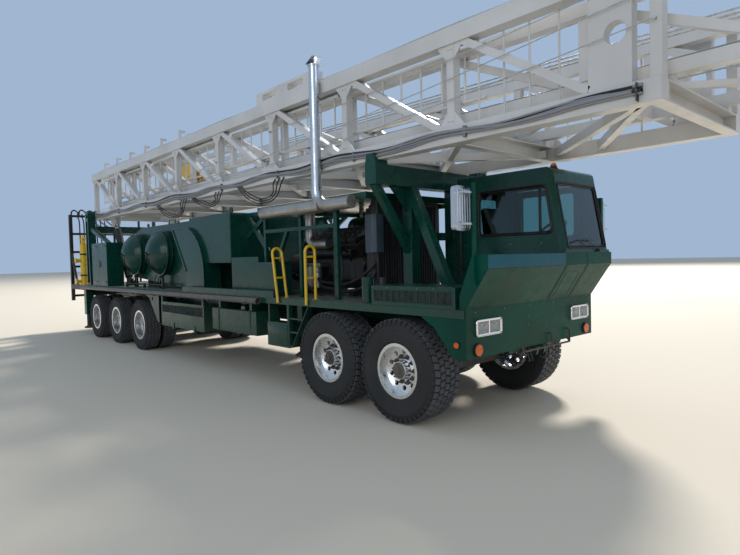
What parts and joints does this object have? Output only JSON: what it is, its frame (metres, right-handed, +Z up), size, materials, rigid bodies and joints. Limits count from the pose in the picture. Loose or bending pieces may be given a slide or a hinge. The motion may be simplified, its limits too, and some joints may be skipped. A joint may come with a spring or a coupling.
{
  "type": "workover rig",
  "caption": "Truck-mounted well-servicing rig with a half-width cab, steered front axles, driven rear axles and a telescoping lattice mast laid along its deck.",
  "frame": {"origin": "middle of the overall box, on the ground", "axes": "+X forwards, +Y to the driver's side, +Z up"},
  "size_m": [18.2, 2.93, 4.41],
  "materials": {
    "green_enamel": "gloss enamel",
    "white_enamel": "gloss enamel",
    "yellow_enamel": "enamel",
    "black_paint": "satin",
    "polished_metal": "polished",
    "ram_chrome": "polished",
    "tyre_rubber": "matte",
    "window_glass": "clear",
    "cab_trim": "matte",
    "lamp_lens": "gloss"
  },
  "bodies": {
    "carrier": {"chassis_frame": "green_enamel", "deck": "green_enamel", "nose": "green_enamel", "cab_shell": "green_enamel", "mast_rest": "green_enamel", "engine_canopy": "green_enamel", "drawworks": "green_enamel", "tool_cabinet": "green_enamel", "side_boxes": "green_enamel", "rear_stand": "green_enamel", "axles": "black_paint", "engine": "black_paint", "rear_platform": "black_paint", "handrails": "yellow_enamel", "exhaust": "polished_metal", "mirrors": "polished_metal", "cab_glass": "window_glass", "cab_interior": "cab_trim", "lamps": "lamp_lens"},
    "knuckle_1_left": {"knuckle_1_left": "black_paint"},
    "front_wheel_1_left": {"front_tyre_1_left": "tyre_rubber", "front_rim_1_left": "polished_metal"},
    "knuckle_1_right": {"knuckle_1_right": "black_paint"},
    "front_wheel_1_right": {"front_tyre_1_right": "tyre_rubber", "front_rim_1_right": "polished_metal"},
    "knuckle_2_left": {"knuckle_2_left": "black_paint"},
    "front_wheel_2_left": {"front_tyre_2_left": "tyre_rubber", "front_rim_2_left": "polished_metal"},
    "knuckle_2_right": {"knuckle_2_right": "black_paint"},
    "front_wheel_2_right": {"front_tyre_2_right": "tyre_rubber", "front_rim_2_right": "polished_metal"},
    "rear_wheel_1_left": {"rear_tyres_1_left": "tyre_rubber", "rear_rims_1_left": "polished_metal"},
    "rear_wheel_1_right": {"rear_tyres_1_right": "tyre_rubber", "rear_rims_1_right": "polished_metal"},
    "rear_wheel_2_left": {"rear_tyres_2_left": "tyre_rubber", "rear_rims_2_left": "polished_metal"},
    "rear_wheel_2_right": {"rear_tyres_2_right": "tyre_rubber", "rear_rims_2_right": "polished_metal"},
    "rear_wheel_3_left": {"rear_tyres_3_left": "tyre_rubber", "rear_rims_3_left": "polished_metal"},
    "rear_wheel_3_right": {"rear_tyres_3_right": "tyre_rubber", "rear_rims_3_right": "polished_metal"},
    "cab_door": {"cab_door": "green_enamel", "door_glass": "window_glass"},
    "cabinet_door_rear": {"cabinet_door_rear": "green_enamel"},
    "cabinet_door_front": {"cabinet_door_front": "green_enamel"},
    "jack_front_left": {"jack_leg_front_left": "black_paint"},
    "jack_front_right": {"jack_leg_front_right": "black_paint"},
    "jack_rear_left": {"jack_leg_rear_left": "black_paint"},
    "jack_rear_right": {"jack_leg_rear_right": "black_paint"},
    "mast_lower": {"mast_lower_sides": "white_enamel", "mast_lower_floor": "white_enamel"},
    "mast_upper": {"mast_upper_sides": "white_enamel", "mast_upper_floor": "white_enamel", "travelling_block": "yellow_enamel"},
    "racking_board": {"racking_board": "white_enamel", "racking_fingers": "white_enamel"},
    "ram_barrels": {"ram_barrels": "black_paint"},
    "ram_rods": {"ram_rods": "ram_chrome"}
  },
  "joints": [
    {"name": "steer_1_left", "type": "hinge", "parent": "carrier", "child": "knuckle_1_left", "pos_m": [3.6, 0.8, 0.562], "axis": [0, 0, 1], "range_deg": [-32, 32]},
    {"name": "front_roll_1_left", "type": "hinge", "parent": "knuckle_1_left", "child": "front_wheel_1_left", "pos_m": [3.6, 1.04, 0.562], "axis": [0, 1, 0], "continuous": true},
    {"name": "steer_1_right", "type": "hinge", "parent": "carrier", "child": "knuckle_1_right", "pos_m": [3.6, -0.8, 0.562], "axis": [0, 0, 1], "range_deg": [-32, 32]},
    {"name": "front_roll_1_right", "type": "hinge", "parent": "knuckle_1_right", "child": "front_wheel_1_right", "pos_m": [3.6, -1.04, 0.562], "axis": [0, 1, 0], "continuous": true},
    {"name": "steer_2_left", "type": "hinge", "parent": "carrier", "child": "knuckle_2_left", "pos_m": [2.4, 0.8, 0.562], "axis": [0, 0, 1], "range_deg": [-28, 28]},
    {"name": "front_roll_2_left", "type": "hinge", "parent": "knuckle_2_left", "child": "front_wheel_2_left", "pos_m": [2.4, 1.04, 0.562], "axis": [0, 1, 0], "continuous": true},
    {"name": "steer_2_right", "type": "hinge", "parent": "carrier", "child": "knuckle_2_right", "pos_m": [2.4, -0.8, 0.562], "axis": [0, 0, 1], "range_deg": [-28, 28]},
    {"name": "front_roll_2_right", "type": "hinge", "parent": "knuckle_2_right", "child": "front_wheel_2_right", "pos_m": [2.4, -1.04, 0.562], "axis": [0, 1, 0], "continuous": true},
    {"name": "rear_roll_1_left", "type": "hinge", "parent": "carrier", "child": "rear_wheel_1_left", "pos_m": [-3.87, 0.95, 0.511], "axis": [0, 1, 0], "continuous": true},
    {"name": "rear_roll_1_right", "type": "hinge", "parent": "carrier", "child": "rear_wheel_1_right", "pos_m": [-3.87, -0.95, 0.511], "axis": [0, 1, 0], "continuous": true},
    {"name": "rear_roll_2_left", "type": "hinge", "parent": "carrier", "child": "rear_wheel_2_left", "pos_m": [-5.286, 0.95, 0.511], "axis": [0, 1, 0], "continuous": true},
    {"name": "rear_roll_2_right", "type": "hinge", "parent": "carrier", "child": "rear_wheel_2_right", "pos_m": [-5.286, -0.95, 0.511], "axis": [0, 1, 0], "continuous": true},
    {"name": "rear_roll_3_left", "type": "hinge", "parent": "carrier", "child": "rear_wheel_3_left", "pos_m": [-6.702, 0.95, 0.511], "axis": [0, 1, 0], "continuous": true},
    {"name": "rear_roll_3_right", "type": "hinge", "parent": "carrier", "child": "rear_wheel_3_right", "pos_m": [-6.702, -0.95, 0.511], "axis": [0, 1, 0], "continuous": true},
    {"name": "cab_door_hinge", "type": "hinge", "parent": "carrier", "child": "cab_door", "pos_m": [4.42, 1.253, 1.65], "axis": [0, 0, -1], "range_deg": [0, 70]},
    {"name": "cabinet_hinge_rear", "type": "hinge", "parent": "carrier", "child": "cabinet_door_rear", "pos_m": [-6.91, -1.221, 1.75], "axis": [0, 0, -1], "range_deg": [0, 110]},
    {"name": "cabinet_hinge_front", "type": "hinge", "parent": "carrier", "child": "cabinet_door_front", "pos_m": [-5.79, -1.221, 1.75], "axis": [0, 0, 1], "range_deg": [0, 110]},
    {"name": "jack_front_left_slide", "type": "slide", "parent": "carrier", "child": "jack_front_left", "axis": [0, 0, -1], "range_m": [0, 0.445]},
    {"name": "jack_front_right_slide", "type": "slide", "parent": "carrier", "child": "jack_front_right", "axis": [0, 0, -1], "range_m": [0, 0.445]},
    {"name": "jack_rear_left_slide", "type": "slide", "parent": "carrier", "child": "jack_rear_left", "axis": [0, 0, -1], "range_m": [0, 0.145]},
    {"name": "jack_rear_right_slide", "type": "slide", "parent": "carrier", "child": "jack_rear_right", "axis": [0, 0, -1], "range_m": [0, 0.145]},
    {"name": "mast_raise", "type": "hinge", "parent": "carrier", "child": "mast_lower", "pos_m": [-7.4, 0, 2.985], "axis": [0, -1, 0], "range_deg": [0, 93]},
    {"name": "mast_extend", "type": "slide", "parent": "mast_lower", "child": "mast_upper", "axis": [1, 0, 0], "range_m": [0, 11.7]},
    {"name": "racking_board_fold", "type": "hinge", "parent": "mast_upper", "child": "racking_board", "pos_m": [-2.5, 0, 4.2], "axis": [0, 1, 0], "range_deg": [0, 90]},
    {"name": "ram_swing", "type": "hinge", "parent": "carrier", "child": "ram_barrels", "pos_m": [-5.8, 0, 1.37], "axis": [0, -1, 0], "range_deg": [-5, 5]},
    {"name": "ram_stroke", "type": "slide", "parent": "ram_barrels", "child": "ram_rods", "axis": [-0.5244, 0, 0.8514], "range_m": [0, 1.2]}
  ],
  "couplings": [
    {"joint": "steer_1_left", "follows": "steer_1_right", "ratio": 1},
    {"joint": "steer_2_left", "follows": "steer_1_right", "ratio": 0.87},
    {"joint": "steer_2_right", "follows": "steer_1_right", "ratio": 0.87},
    {"joint": "ram_swing", "follows": "mast_raise", "ratio": -0.011226},
    {"joint": "ram_stroke", "follows": "mast_raise", "m_per_rad": 0.70207}
  ]
}
